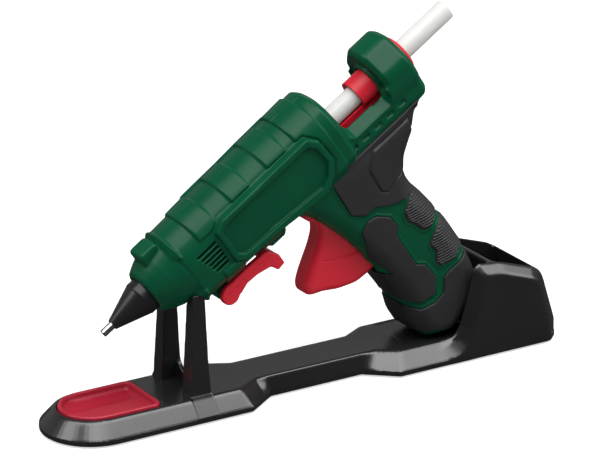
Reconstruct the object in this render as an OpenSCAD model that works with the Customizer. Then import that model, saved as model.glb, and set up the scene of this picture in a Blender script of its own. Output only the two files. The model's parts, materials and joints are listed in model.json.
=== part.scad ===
// Hot-melt glue gun on its desk stand: tilted gun, drip tray, nozzle fork and stick caddy.
// +X runs from the nozzle end to the caddy, +Z is up, the origin is under the stand's middle.

/* [Stand] */
// Overall length of the stand
stand_len = 296; // [250:1:350]
// Width of the front lobe at the floor
front_w = 54.4; // [44:0.2:66]
// Width of the rear lobe at the floor
rear_w = 56.8; // [46:0.2:68]
// Width of the waist at the floor
waist_w = 30; // [24:0.5:40]
// Height of the flat top plate
plate_h = 12; // [9:0.5:16]
// Wall thickness of the stand moulding
stand_wall = 2.4; // [1.8:0.1:3.5]
// Height of the caddy rim
caddy_h = 52; // [40:1:65]
// Height the rubber feet lift the moulding
foot_h = 0.8; // [0.5:0.1:2]

/* [Drip tray] */
// Length of the tray
tray_len = 49; // [40:0.5:58]
// Width of the tray
tray_w = 36; // [28:0.5:42]
// Depth of the tray bowl
tray_depth = 4.6; // [3:0.2:6]

/* [Gun body] */
// Tilt of the gun axis from level
tilt = 34; // [30:0.5:38]
// Nozzle tip, distance ahead of the middle of the stand
tip_x = -114; // [-120:0.5:-108]
// Nozzle tip height
tip_z = 49.5; // [45:0.5:58]
// Half width of the barrel at its front
barrel_front_w = 19.5; // [17:0.25:22]
// Half width of the barrel at its rear
barrel_rear_w = 21; // [18:0.25:24]
// Half width of the rear body and the handle
handle_w = 17; // [14:0.25:19]
// Housing wall thickness
wall = 2.6; // [1.8:0.1:3.5]
// Height of the raised bands round the barrel
rib_h = 1.1; // [0.6:0.1:2]
// Depth of the soft grip inlays
grip_t = 1.3; // [0.8:0.1:1.8]

/* [Hot end] */
// Glue stick diameter
stick_d = 11.2; // [7:0.1:12]
// Length left of the glue stick in the gun
stick_len = 192; // [100:1:300]
// Outside diameter of the melting chamber
chamber_d = 19; // [16:0.5:22]
// Nozzle outlet bore
outlet_d = 2; // [1:0.1:3]

/* [Trigger and feed] */
// Thickness of the trigger
trigger_w = 15; // [12:0.5:18]
// Diameter of the pivot and drive pins
pin_d = 4; // [3:0.25:5]
// Squeeze angle, used for the slot length in the carriage
squeeze = 25; // [15:1:30]
// Width of the kickstand across its arms
kick_w = 28; // [22:0.5:34]

/* [Hidden] */
$fn = 48;
eps = 0.01;
// clearances: running fit on a radius, gap between parts that move, gap under a resting part
run_fit = 0.04;
gap = 0.4;
rest_gap = 0.35;
guide_fit = 0.5;
bay_w = handle_w + grip_t + 2.3;

x0 = -stand_len / 2;
x1 = stand_len / 2;
front_c = x0 + front_w / 2;
top_in = 7.3;
lip_h = 3;
stick_r = stick_d / 2;
stick_s0 = 53;
pin_r = pin_d / 2;
pivot = [124, -30];
drive_pin = [127.8, -14];
kick_pivot = [61.5, -28];
loop_s0 = 188;
body_s1 = 209;
win_s0 = 158;
screw_at = [[66, 15.5, 9], [140, 17, 9], [108, -17.2, 9], [140.5, -97, 8], [151, -129, 8], [167, -46, 8]];
tray_x0 = x0 + 9.2;

// side outline of the handle, along the gun axis and across it
grip_side = [[113, -14], [116, -24], [120, -30], [124.5, -42], [128.5, -56], [131.5, -72], [133.5, -86],
    [134.6, -104], [133.8, -112], [131.6, -119], [131.5, -127], [133.1, -135.3], [144.8, -143.1],
    [152, -142], [163, -139], [172.5, -134.5], [176.3, -121], [178.2, -106], [178, -89], [176.6, -76],
    [175, -65.5], [173.3, -58], [173, -51], [174.6, -44.5], [178.5, -39], [184.5, -34.5], [190.5, -30.5],
    [195.5, -25], [196.5, -14]];
saddle_zone = [[136.2, -19], [143.6, -13.6], [146.6, -16.6], [200, -16.6], [200, -40], [178, -60], [170, -56],
    [163.2, -56.5], [156.9, -55], [148.5, -47.4], [143.3, -47.5], [135.3, -39.5]];
panel_zone = [[140.3, -50.3], [146.6, -52.2], [152.4, -58], [152.4, -66.2], [150, -70.3], [149.6, -91.9],
    [153.2, -95.6], [153.6, -108.5], [151.5, -111.8], [145.1, -112.6], [137.2, -109.4], [128, -101],
    [128, -90], [138.9, -87.2]];
pad_a_zone = [[163.5, -59.5], [168, -58.5], [184, -64], [184, -76.5], [172.5, -83.5], [166, -83], [158.5, -71],
    [158.5, -64]];
pad_b_zone = [[161.3, -87], [166, -86], [173, -86], [184, -79.5], [184, -109], [172, -115], [166.5, -112],
    [161, -105]];
heel_zone = [[126, -107], [131, -107.5], [137, -112.5], [145.1, -116], [152.8, -115.2], [156.5, -111.5],
    [158, -106], [165.5, -115.5], [172, -118.3], [184, -113], [184, -130], [165, -133.5], [149.5, -136],
    [136.5, -127.5], [126, -117]];
kick_side = [[61.5, -22.7], [75, -22.2], [87.5, -22.8], [91.2, -24.4], [94.2, -30], [94.2, -36], [89.4, -36.6],
    [87.2, -32.2], [79, -30], [72, -29.6], [66.8, -31.6]];
trigger_side = [[118.5, -31], [122.6, -36.5], [122.2, -40.5], [119.6, -45], [114, -49.6], [108.4, -53.2],
    [102.6, -57], [97.6, -61], [95.2, -64.2], [95.6, -67.2], [98.6, -69.4], [102.8, -71.2], [110.9, -77.4],
    [120.9, -82.4], [131, -83.4], [142.3, -80.4], [130, -29]];

// ---------- frames ----------
// gun axis: local X runs back from the nozzle tip, local Z is square to it
module gun() translate([tip_x, 0, tip_z]) rotate([0, -tilt, 0]) children();
// prism of a side outline, w wide and centred
module side(w) rotate([90, 0, 0]) linear_extrude(w, center = true) children();
// prism of a cross section, from s0 to s1 along the axis
module along(s0, s1) translate([s0, 0, 0]) rotate([90, 0, 90]) linear_extrude(s1 - s0) children();
// turned piece on the axis, outline given as [s, r]
module turned(p) rotate([0, 90, 0]) rotate([0, 0, 90]) rotate_extrude($fn = 96) polygon([for (q = p) [q[1], q[0]]]);
// rod across the gun at a side position
module cross(at, r, y0, y1) translate([at[0], y0, at[1]]) rotate([-90, 0, 0]) cylinder(h = y1 - y0, r = r);

// ---------- stand ----------
module slab(xa, xb, w, z, h, r) {
    translate([0, 0, z])
        linear_extrude(h)
            union() {
                translate([xa + r, -w]) square([xb - xa - 2 * r, 2 * w]);
                translate([xa, -w + r]) square([xb - xa, 2 * w - 2 * r]);
                for (x = [xa + r, xb - r], y = [-w + r, w - r]) translate([x, y]) circle(r, $fn = 32);
            }
}
// half outline of the plinth from its round front: front arc r, waist w, rear lobe q, rear end xe
function half_plan(r, xa, xb, xc, xd, w, q, xe) = concat(
    [for (i = [0:14]) [front_c - r * cos(i * 90 / 14), r * sin(i * 90 / 14)]],
    [[xa, r], [xb, w], [xc, w], [xd, q], [xe - 4, q], [xe - 1.2, q - 1.2], [xe, q - 4]]);
function full_plan(h) = concat(h, [for (i = [len(h) - 1:-1:1]) [h[i][0], -h[i][1]]]);
function ring(plan, z) = [for (q = plan) [q[0], q[1], z]];
// plinth body lofted through three outlines: d shrinks it all round for the hollow underneath
module plinth(d, z0, zt) {
    low = full_plan(half_plan(front_w / 2 - d, -42.6 - d, -25 - d, 30 + d, 46 + d, waist_w / 2 - d, rear_w / 2 - d, x1 - d));
    high = full_plan(half_plan(front_w / 2 - top_in - d, -46.4 - d, -33 - d, 40.2 + d, 51 + d, waist_w / 2 - 2.2 - d,
        rear_w / 2 - top_in - 1.2 - d, 112 - d));
    n = len(low);
    m = (n + 1) / 2;
    // caps are strips from side to side, since the waist makes the outline hollow
    cap = concat([[0, 1, n - 1]], [for (i = [1:m - 2]) [i, i + 1, n - i - 1, n - i]]);
    polyhedron(points = concat(ring(low, z0), ring(low, foot_h + lip_h - d / 2), ring(high, zt)),
        faces = concat([for (f = cap) [for (i = [len(f) - 1:-1:0]) f[i]]], [for (f = cap) [for (i = f) 2 * n + i]],
            [for (i = [0:n - 1]) [i, (i + 1) % n, n + (i + 1) % n, n + i]],
            [for (i = [0:n - 1]) [n + i, 2 * n + (i + 1) % n, 2 * n + i]],
            [for (i = [0:n - 1]) [n + i, n + (i + 1) % n, 2 * n + (i + 1) % n]]),
        convexity = 6);
}

// caddy block as a loft of three cross sections and the raked rear foot
module caddy_loft(d) {
    top = caddy_h - d;
    side_y = rear_w / 2 - 0.2;
    hull() {
        for (q = [[77, 26.6, 45.5, 23.2, top], [112, 26.4, 43.5, 23.2, top - 2], [136, 25.8, 35.5, 22, top - 10.5]])
            along(q[0] + d, q[0] + d + 0.1)
                polygon([[-side_y, foot_h + 0.5], [side_y, foot_h + 0.5], [side_y, 4], [q[1], q[2]],
                    [q[3], q[4]], [-q[3], q[4]], [-q[1], q[2]], [-side_y, 4]]);
        slab(120, x1 - 0.2, side_y, foot_h + 0.5, 10, 6);
        slab(120, x1 - 8.6, 24.6, caddy_h - 17, 1, 5);
    }
}
module caddy() difference() {
    caddy_loft(0);
    // raked front edge of the side arms
    side(80) polygon([[60, plate_h - 2], [76.5, plate_h - 2], [81.5, 12.6], [86.2, 19], [90.2, 31], [93.2, 46],
        [94.2, 60], [60, 60]]);
    // bay behind the arms for the gun's heel
    hull() {
        slab(50, 104.6, bay_w, 60, 2, 3);
        slab(50, 107, bay_w, plate_h, 24, 3);
    }
    // open bin for spare sticks and nozzles
    hull() {
        slab(108, 134, 20.6, caddy_h - 2, 8, 3);
        slab(111, 137, 20.6, 16, 2, 3);
        slab(112, 136, 18, 7, 1, 3);
    }
}
// fork post, leaning in towards its partner, with a flush foot down the raked side
module post(sy) scale([1, sy, 1]) {
    intersection() {
        side(80) polygon([[-75.3, plate_h - 1], [-62.5, plate_h - 1], [-63.9, 28], [-65.3, 72], [-71.9, 72]]);
        along(-80, -60) polygon([[10.4, plate_h - 1], [19.75, plate_h - 1], [14.1, 72], [9.4, 72]]);
    }
    along(-74.9, -62.3)
        polygon([[14, foot_h + 0.4], [front_w / 2 + 0.6, foot_h + 0.4], [front_w / 2 + 0.6, foot_h + lip_h],
            [19.9, plate_h + 0.4], [14, plate_h + 0.4]]);
}
module stand_base() color("#18191b") difference() {
    union() {
        difference() {
            union() {
                plinth(0, foot_h, plate_h);
                caddy();
            }
            plinth(stand_wall, -1, plate_h - stand_wall);
        }
        // cross ribs that stiffen the hollow underside
        for (x = [-84, -50, -6, 22, 62, 84])
            translate([x, -waist_w / 2 + 3, foot_h + 1]) cube([1.6, waist_w - 6, plate_h - foot_h - 2]);
        // bosses that carry the rubber feet
        for (p = foot_at) translate([p[0], p[1], foot_h + 0.3]) cylinder(h = (p[0] > 100 ? 6.6 : plate_h - 1) - foot_h - 0.3, r = 6.5);
        // deck under the tray and under the bin
        translate([0, 0, tray_floor - 2.2]) linear_extrude(plate_h - tray_floor + 1.2) tray_plan(2);
        for (s = [-1, 1]) post(s);
        // low web that ties the posts together
        difference() {
            translate([-66, -11.5, plate_h - 1]) cube([2.4, 23, 10]);
            translate([-67, 0, plate_h + 16]) rotate([0, 90, 0]) cylinder(h = 5, r = 12, $fn = 64);
        }
    }
    // seat for the tray
    translate([0, 0, tray_floor]) linear_extrude(30) tray_plan(gap);
    // seats for the feet
    for (p = foot_at) translate([p[0], p[1], -1]) cylinder(h = 3, r = 5.05);
    // shallow seat for the gun's heel
    translate([58.5, 2.2 - bay_w, plate_h - 0.6]) cube([40, 2 * bay_w - 4.4, 3]);
    // the posts are cut to the nose they carry
    gun() turned(nose_out(rest_gap + 0.1));
    gun() barrel(-rest_gap);
}
foot_at = [[-124, 0], [-54, -12.6], [-54, 12.6], [64, -12.6], [64, 12.6], [134, -17], [134, 17]];
module stand_feet() color("#2b2c2e") for (p = foot_at) translate([p[0], p[1], 0]) cylinder(h = 2, r = 5);

// ---------- drip tray ----------
tray_floor = plate_h - 6.2;
module tray_plan(d) {
    r = tray_w / 2;
    translate([tray_x0 + r, 0]) circle(r + d, $fn = 96);
    translate([tray_x0 + r, -r - d]) square([tray_len - r - 5, tray_w + 2 * d]);
    translate([tray_x0 + r, -r + 5]) square([tray_len - r + d, tray_w - 10]);
    for (s = [-1, 1]) translate([tray_x0 + tray_len - 5, s * (r - 5)]) circle(5 + d, $fn = 48);
}
module drip_tray() color("#b81c2c") difference() {
    translate([0, 0, tray_floor + 0.05]) union() {
        linear_extrude(6) tray_plan(0);
        translate([0, 0, 5.2 + 1.1]) linear_extrude(1) tray_plan(0.9 - 0.5);
        translate([0, 0, 5.9]) linear_extrude(0.5) tray_plan(0.2);
    }
    translate([0, 0, plate_h + 1.2 - tray_depth]) linear_extrude(20) tray_plan(-2);
}

// ---------- gun housing ----------
// cross section of the barrel: half width w, top tt, bottom tb, less d all round
function oct(w, tt, tb, d) = [[-w + d, -13], [-w + 7.6 + d / 2, tb + d], [w - 7.6 - d / 2, tb + d], [w - d, -13],
    [w - d, tt - 9], [w - 9 - d / 2, tt - d], [-w + 9 + d / 2, tt - d], [-w + d, tt - 9]];
function barrel_at(s, a, b) = a + (b - a) * (s - 48) / 104;
function barrel_sec(s, d) = oct(barrel_at(s, barrel_front_w, barrel_rear_w), barrel_at(s, 20.5, 23.2),
    barrel_at(s, -20.5, -22.5), d);
module barrel(d) hull() {
    along(48 + d, 48.1 + d) polygon(barrel_sec(48, d));
    along(win_s0 - 3.1, win_s0 - 3) polygon(barrel_sec(win_s0, d));
    along(win_s0 - 0.1, win_s0) polygon(barrel_sec(win_s0, d + 2.4));
}
module barrel_bands() for (q = [[44.5, 52], [64, 77], [89.3, 102], [114.3, 127.6], [134, 149]])
    intersection() {
        along(q[0], q[1]) polygon(barrel_sec(q[0], -rib_h));
        along(q[0], q[1]) polygon([[-30, 10.8], [30, 10.8], [30, 40], [-30, 40]]);
    }
function nose_out(d) = [[29.8 - d, 0], [29.8 - d, 12.6 + d], [31.5, 13.2 + d], [35.5, 15.2 + d], [40.5, 17.2 + d],
    [48.5, 19.2 + d], [54, 19.2 + d], [54, 0]];
nose_in = [[36.5, 0], [36.5, 12.9], [40, 14.4], [48.5, 16.4], [54, 16.4], [54, 0]];
// rear body: half width and height set by d, arch round the stick
module rear_sec(d) {
    circle(19.5 - d, $fn = 96);
    polygon([[-handle_w + d, 0], [-handle_w + d, -16.5], [-11.5 + d / 2, -22.8 + d], [11.5 - d / 2, -22.8 + d],
        [handle_w - d, -16.5], [handle_w - d, 0]]);
}
module rear_body(d) {
    intersection() {
        along(150, body_s1 - d) rear_sec(d);
        side(60) polygon([[140, -24], [196, -24], [body_s1 - d, -18.5], [body_s1 - d, 21], [203, 24], [140, 24]]);
        turned([[100, 0], [100, 40], [203, 40], [204.5, 26], [body_s1, 20.8], [body_s1, 0]]);
    }
}
// handle prism less d, rounded across its front and back edges
module grip(d) intersection() {
    side(2 * (handle_w - d)) offset(delta = -d) polygon(grip_side);
    translate([0, 0, -150]) linear_extrude(150) grip_plan(d);
}
module grip_plan(d) {
    translate([118, -handle_w + d]) square([70, 2 * (handle_w - d)]);
    translate([112, -handle_w + 3]) square([90, 2 * (handle_w - 3)]);
}
module zone(p) side(60) polygon(p);
module soft_skin(d0, d1) difference() {
    union() {
        grip(d0);
        rear_body(d0);
    }
    union() {
        grip(d1);
        rear_body(d1);
    }
}
module soft_zones() {
    zone(saddle_zone);
    zone(panel_zone);
    zone(pad_a_zone);
    zone(pad_b_zone);
    zone(heel_zone);
}
// feed window: opens the top and both flanks ahead of the loop
module window() {
    side(60) polygon([[win_s0 + 2.2, -3], [loop_s0 - 1, -3], [loop_s0 + 0.5, 2], [loop_s0 + 0.5, 30],
        [win_s0 - 10, 30], [win_s0, 22], [win_s0, 0]]);
    for (s = [-1, 1])
        side_wedge(s);
}
module side_wedge(s) scale([1, s, 1]) along(win_s0 + 2.2, loop_s0 - 1) polygon([[11.5, -3.01], [20, -10], [20, -3.01]]);
module trigger_slot() {
    side(trigger_w + 1)
        polygon([[110, -24.5], [116.2, -24.5], [116.2, -14], [132, -14], [136.5, -26], [137.5, -84.3], [126, -84.3],
            [110, -40]]);
}
module hollow() {
    difference() {
        union() {
            turned(nose_in);
            barrel(wall);
            along(win_s0 - 4, win_s0 + 1) polygon(barrel_sec(win_s0, wall + 4));
            grip(wall);
            rear_body(wall);
            side(2 * (handle_w - wall)) polygon([[120, -10], [190, -10], [186, -40], [160, -60], [128, -52]]);
        }
        // end wall that carries the rear ring, and the loop round the carriage
        along(loop_s0, 230) rear_sec(-5);
    }
    turned([[20, 0], [20, 9.9], [40, 9.9], [40, 0]]);
    turned([[loop_s0 - 8, 0], [loop_s0 - 8, 8.9], [204, 8.9], [204, 0]]);
    along(loop_s0 - 6, 200) polygon([[-7, -9.4], [7, -9.4], [7, 0], [-7, 0]]);
    turned([[200, 0], [200, 7.6], [230, 7.6], [230, 0]]);
    turned([[205.6, 0], [205.6, 11.1], [230, 11.1], [230, 0]]);
}
module shell() difference() {
    union() {
        difference() {
            union() {
                turned(nose_out(0));
                barrel(0);
                barrel_bands();
                rear_body(0);
                grip(0);
                tab_block();
            }
            hollow();
        }
        bosses();
    }
    window();
    trigger_slot();
    badge_field();
    vents();
    dents();
    // pockets for the soft grips
    intersection() {
        soft_zones();
        soft_skin(-3, grip_t);
    }
    // pins, screws and the cord inlet
    cross(pivot, pin_r + run_fit, -13.5, 13.5);
    cross(kick_pivot, pin_r - 0.5 + run_fit, -20, 20);
    for (p = screw_at) {
        cross(p, 1.25, -p[2] + 1, 12);
        cross(p, 3, 10, 30);
    }
    inlet_frame() cylinder(h = 14, r = 5.2);
}
module tab_block() side(22) polygon([[93.4, -15], [93.4, -24], [95, -25.6], [104, -25.6], [106, -23.5], [106, -15]]);
module bosses() {
    intersection() {
        for (p = screw_at) cross(p, 4.4, -handle_w + 1, handle_w - 1);
        union() {
            barrel(1);
            grip(1);
        }
    }
    for (s = [-1, 1])
        scale([1, s, 1]) cross(pivot, 5.4, trigger_w / 2 + gap, handle_w - 1);
    // lug for the kickstand
    cross(kick_pivot, 4.6, -9, 9);
    side(18) polygon([[kick_pivot[0] - 4.6, -28], [kick_pivot[0] + 4.6, -28], [kick_pivot[0] + 6, -18],
        [kick_pivot[0] - 6, -18]]);
    // guide ribs under the feed carriage
    for (y = [-5.6, 4.2])
        translate([142, y, -21.4]) cube([48, 1.4, 12.3]);
}
// sunk field for a badge on each flank, left plain
module badge_field() for (s = [-1, 1])
    scale([1, s, 1]) translate([0, -barrel_front_w - 1, 0]) rotate([0, 0, -0.8])
        side(2.6) polygon([[76.5, 6.6], [137, 8], [139.4, -3], [136, -8.6], [79, -10.4], [75, 2]]);
module vents() for (s = [-1, 1], i = [0:6])
    scale([1, s, 1]) translate([0, -barrel_front_w, 0])
        side(12) polygon([for (q = [[57 + i * 0.7, 6.6], [70.6 - i * 0.1, 6.6], [70 - i * 0.1, 5.4], [57 + i * 0.7, 5.4]])
            [q[0], q[1] - 2.6 * i]]);
module dents() for (s = [-1, 1], i = [0:4])
    scale([1, s, 1]) translate([157.4 + 8.7 * i, -handle_w, -12.2]) rotate([0, 20, 0]) cube([4.4, 1.6, 2.2], center = true);

module housing_near() color("#0b5a38") gun() intersection() {
    shell();
    translate([0, -40, -160]) cube([260, 40, 220]);
}
module housing_far() color("#0b5a38") gun() intersection() {
    shell();
    translate([0, 0, -160]) cube([260, 40, 220]);
}

// ---------- soft grips ----------
module soft(p) gun() difference() {
    intersection() {
        soft_skin(-0.25, grip_t);
        zone(p);
    }
    window();
    trigger_slot();
}
module grip_saddle() color("#2a2b2d") soft(saddle_zone);
module grip_side_panels() color("#2a2b2d") soft(panel_zone);
module grip_palm_pads() color("#333436") {
    soft(pad_a_zone);
    soft(pad_b_zone);
}
module grip_heel_band() color("#2a2b2d") soft(heel_zone);

// ---------- hot end ----------
module nozzle_tip() color("#b9bcc0") gun() turned([[0, outlet_d / 2], [0, 2.1], [9, 2.1], [10, 2.3], [26, 6.2], [26, 7.4],
    [30, 7.4], [30, 4.95], [38, 4.95], [38, 3.4], [12, 2.6], [8, outlet_d / 2]]);
module nozzle_boot() color("#141517") gun() turned([[6.5, 2.15], [6.5, 2.9], [24.6, 9.1], [25.6, 9.6], [34, 9.6], [34, 8.5],
    [29.9, 8.5], [29.9, 7.55], [24.5, 7.55], [24.5, 6.3], [9.5, 2.5], [9.5, 2.15]]);
module valve_ball() color("#c9ccd0") gun() translate([14.2, 0, 0]) sphere(r = 2, $fn = 40);
module valve_spring() color("#b9bcc0") gun() for (i = [0:6])
    translate([17.4 + i * 2.6, 0, 0]) rotate([0, 90 + (i % 2 == 0 ? 7 : -7), 0]) rotate_extrude($fn = 32)
        translate([2.3, 0]) circle(0.32, $fn = 14);
module melt_chamber() color("#a9acb0") gun() difference() {
    union() {
        turned([[30.2, 0], [30.2, 8.4], [38, 8.4], [40, chamber_d / 2], [96, chamber_d / 2], [96, 0]]);
        translate([46, -7, -15]) cube([38, 14, 12]);
    }
    turned([[20, 0], [20, 5], [38.4, 5], [38.4, 3.6], [44, stick_r + 0.35], [100, stick_r + 0.35], [100, 0]]);
    translate([44, -5.2, -13.4]) cube([42, 10.4, 3.2]);
}
module heater_ptc() color("#d8d4c8") gun() for (s = [47.5, 66.5])
    translate([s, -4.9, -13.2]) cube([16.5, 9.8, 2.6]);
module heater_clamp() color("#c0c3c7") gun() difference() {
    translate([51.2, -8.4, -17]) cube([26.8, 16.8, 9]);
    translate([49, -7.05, -15.05]) cube([30, 14.1, 12]);
}
module thermal_fuse() color("#d9d9d2") gun() {
    translate([75, 0, chamber_d / 2 + 2.3]) rotate([0, 90, 0]) cylinder(h = 9, r = 2.2);
    translate([72, 0, chamber_d / 2 + 2.3]) rotate([0, 90, 0]) cylinder(h = 15, r = 0.5);
}
module inlet_sleeve() color("#c9532b") gun() turned([[92.5, chamber_d / 2 + 0.05], [92.5, chamber_d / 2 + 1.6],
    [99, chamber_d / 2 + 1.6], [104, stick_r + 2.6], [112.4, stick_r + 2.6], [114, stick_r + 1],
    [114, stick_r + guide_fit], [96.2, stick_r + guide_fit], [96.2, chamber_d / 2 + 0.05]]);
module chamber_mounts() color("#cfc9b8") gun() for (s = [41.2, 87.5])
    along(s, s + 2.5) difference() {
        circle(s < 50 ? 14.3 : 15.5);
        circle(chamber_d / 2 + 0.05);
        translate([-30, -30]) square([60, 30 - (s < 50 ? 12 : 11.4)]);
    }
module rear_ring() color("#b81c2c") gun() turned([[204.4, stick_r + 0.8], [204.4, 7.5], [205.7, 7.5], [205.7, 11], [210.6, 11],
    [211.6, 10.2], [211.6, 8.4], [208, stick_r + 0.8]]);

// ---------- fasteners and wiring ----------
module housing_screws() color("#3a3b3d") gun() for (p = screw_at) {
    difference() {
        cross(p, 2.7, 10.02, 12.2);
        cross(p, 1, 11, 13);
    }
    cross(p, 1.2, -p[2] + 1.3, 10.05);
}
module trigger_pin() color("#b9bcc0") gun() cross(pivot, pin_r, -13.3, 13.3);
module kickstand_pin() color("#b9bcc0") gun() cross(kick_pivot, pin_r - 0.5, -kick_w / 2 + 0.4, kick_w / 2 - 0.4);
// return spring: coils round the pin between the trigger and the housing boss, on the far side
module trigger_spring() color("#b9bcc0") gun() {
    for (i = [0:2])
        translate([pivot[0], -3.1 + 2.4 * i, pivot[1]]) rotate([90 + (i % 2 == 0 ? 9 : -9), 0, 0]) rotate_extrude($fn = 40)
            translate([3.7, 0]) circle(0.5, $fn = 14);
    translate([pivot[0] + 3.7, 1.7, pivot[1]]) rotate([0, 55, 0]) cylinder(h = 15, r = 0.5, $fn = 16);
}
module inlet_frame() translate([162.5, 0, -142]) rotate([0, -8, 0]) children();
module power_inlet() color("#141517") gun() inlet_frame() difference() {
    union() {
        translate([0, 0, 1.4]) cylinder(h = 11.6, r = 5.1);
        translate([0, 0, 7.8]) cylinder(h = 1.5, r = 6.5);
    }
    cylinder(h = 30, r = 3.4, center = true);
}
module terminal_block() color("#e4e1d6") gun() difference() {
    translate([148, -7, -112]) cube([17, 14, 11]);
    for (y = [-3.5, 3.5], x = [152, 160]) translate([x, y, -104]) cylinder(h = 4, r = 1.6);
}
module rod(a, b, r) {
    v = b - a;
    translate(a) rotate([0, acos(v[2] / norm(v)), atan2(v[1], v[0])])
        translate([0, 0, -r / 2]) cylinder(h = norm(v) + r, r = r, $fn = 24);
}
module wire(p, r) for (i = [0:len(p) - 2]) rod(p[i], p[i + 1], r);
module inner_wires() color("#3d4246") gun() for (s = [-1, 1]) {
    wire([[81, s * 10.4, -13], [98, s * 12, -11.2], [118, s * 12, -11.2], [140, s * 12.3, -16], [157, s * 12.3, -30],
        [163, s * 12, -60], [160, s * 9, -92], [157, s * 4, -100]], 0.9);
    wire([[157, s * 3.5, -113], [161, s * 1.7, -124], [162.8, s * 1.3, -137]], 0.9);
}

// ---------- trigger and feed ----------
module trigger() color("#b81c2c") gun() {
    trigger_lever();
    cross(drive_pin, pin_r, -4.8, 4.8);
}
module trigger_lever() difference() {
    union() {
        side(trigger_w) polygon(trigger_side);
        cross(pivot, 6, -trigger_w / 2, trigger_w / 2);
        side(trigger_w) polygon([[118.4, -30], [130, -30], [131, drive_pin[1]], [drive_pin[0] - 3.2, drive_pin[1]]]);
        cross(drive_pin, 3.2, -trigger_w / 2, trigger_w / 2);
    }
    cross(pivot, pin_r + run_fit, -20, 20);
    // fork that straddles the carriage leg, and the room for the spring
    side(8.6) polygon([[100, -22], [140, -22], [140, 0], [100, 0]]);
    cross(pivot, 5.2, -4.3, 4.3);
    side(8.6) polygon([[124, -35.2], [150, -38], [150, -20], [124, -20]]);
    // lightening pockets in the part that stays inside the handle
    for (s = [-1, 1]) translate([0, s * trigger_w / 2, 0])
        side(4) polygon([[131, -45], [134, -45], [139, -76], [131, -78]]);
}
module feed_carriage() color("#b81c2c") gun() difference() {
    union() {
        translate([124.5, -6.5, -8.8]) cube([66, 13, 2.5]);
        for (y = [-6.5, 5.2]) translate([132, y, -8.8]) cube([58, 1.3, 5]);
        turned([[178, stick_r + 0.5], [178, 8.5], [197, 8.5], [197, stick_r + 0.5]]);
        side(6) polygon([[122, -7], [135, -7], [134, -18.6], [121.8, -18.6]]);
    }
    translate([100, 0, 0]) rotate([0, 90, 0]) cylinder(h = 120, r = stick_r + 0.5);
    side(8) polygon([for (q = [[-1, -30], [1, -30], [1, -11.2], [-1, -11.2]])
        [drive_pin[0] + q[0] * (pin_r + 0.1), q[1]]]);
    side(9.2) polygon([[147.5, -10], [151.5, -10], [151.5, -4], [147.5, -4]]);
}
module stick_clamp() color("#b9bcc0") gun() {
    translate([149.5, 0, -stick_r - 3.3]) rotate([0, 12, 0]) translate([-0.6, -4.4, 0]) cube([1.2, 8.8, 2.6]);
}
module glue_stick() color("#efece2") gun() translate([stick_s0, 0, 0]) rotate([0, 90, 0]) cylinder(h = stick_len, r = stick_r, $fn = 96);

module kickstand() color("#b81c2c") gun() difference() {
    union() {
        for (s = [-1, 1]) scale([1, s, 1]) translate([0, -kick_w / 2 + 2.1, 0]) {
            side(4.2) polygon(kick_side);
            translate([kick_pivot[0], 0, kick_pivot[1]]) rotate([90, 0, 0]) cylinder(h = 4.2, r = 5.3, center = true);
        }
        side(kick_w - 1) polygon([[88.2, -30.4], [92, -27.5], [94.2, -30], [94.2, -36], [89.4, -36.6]]);
    }
    cross(kick_pivot, pin_r - 0.5 + run_fit, -20, 20);
}

stand_base();
stand_feet();
drip_tray();
housing_near();
housing_far();
grip_saddle();
grip_side_panels();
grip_palm_pads();
grip_heel_band();
nozzle_boot();
nozzle_tip();
valve_ball();
valve_spring();
melt_chamber();
heater_ptc();
heater_clamp();
thermal_fuse();
inlet_sleeve();
chamber_mounts();
rear_ring();
housing_screws();
trigger_pin();
trigger_spring();
kickstand_pin();
power_inlet();
terminal_block();
inner_wires();
trigger();
feed_carriage();
stick_clamp();
glue_stick();
kickstand();
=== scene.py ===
# %% [markdown]
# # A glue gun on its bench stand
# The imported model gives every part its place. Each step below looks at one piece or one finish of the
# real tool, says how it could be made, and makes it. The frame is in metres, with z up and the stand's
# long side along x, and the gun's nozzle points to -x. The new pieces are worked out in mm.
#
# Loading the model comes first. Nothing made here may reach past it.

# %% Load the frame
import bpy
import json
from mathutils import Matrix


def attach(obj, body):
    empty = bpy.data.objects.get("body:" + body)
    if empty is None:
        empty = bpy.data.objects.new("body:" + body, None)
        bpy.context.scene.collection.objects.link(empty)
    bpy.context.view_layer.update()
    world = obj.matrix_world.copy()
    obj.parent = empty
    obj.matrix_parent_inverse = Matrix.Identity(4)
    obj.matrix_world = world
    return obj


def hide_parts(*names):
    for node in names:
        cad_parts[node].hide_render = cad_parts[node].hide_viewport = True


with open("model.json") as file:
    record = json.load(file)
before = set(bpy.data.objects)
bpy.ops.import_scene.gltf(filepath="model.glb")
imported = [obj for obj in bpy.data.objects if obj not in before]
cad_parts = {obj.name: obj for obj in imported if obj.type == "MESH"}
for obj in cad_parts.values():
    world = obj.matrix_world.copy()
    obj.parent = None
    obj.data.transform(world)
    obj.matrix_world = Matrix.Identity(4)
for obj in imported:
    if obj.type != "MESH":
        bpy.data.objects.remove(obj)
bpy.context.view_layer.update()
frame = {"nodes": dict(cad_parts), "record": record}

import json, math
import bpy
import numpy as np
from mathutils import Vector

MM = 0.001
nodes = frame["nodes"]

# %% [markdown]
# ## Camera
# The object is seen from its front left and a little above, through a long lens from far away, so that
# parallel edges stay nearly parallel. A 222 mm lens from about two metres does that. The camera could be
# turned by three angles; giving it the direction that it looks along is easier to read and to change.

# %% Camera
def look(direction):
    """Turn of a camera that looks along a direction and keeps z up."""
    return Vector(direction).to_track_quat("-Z", "Y").to_euler()

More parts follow.
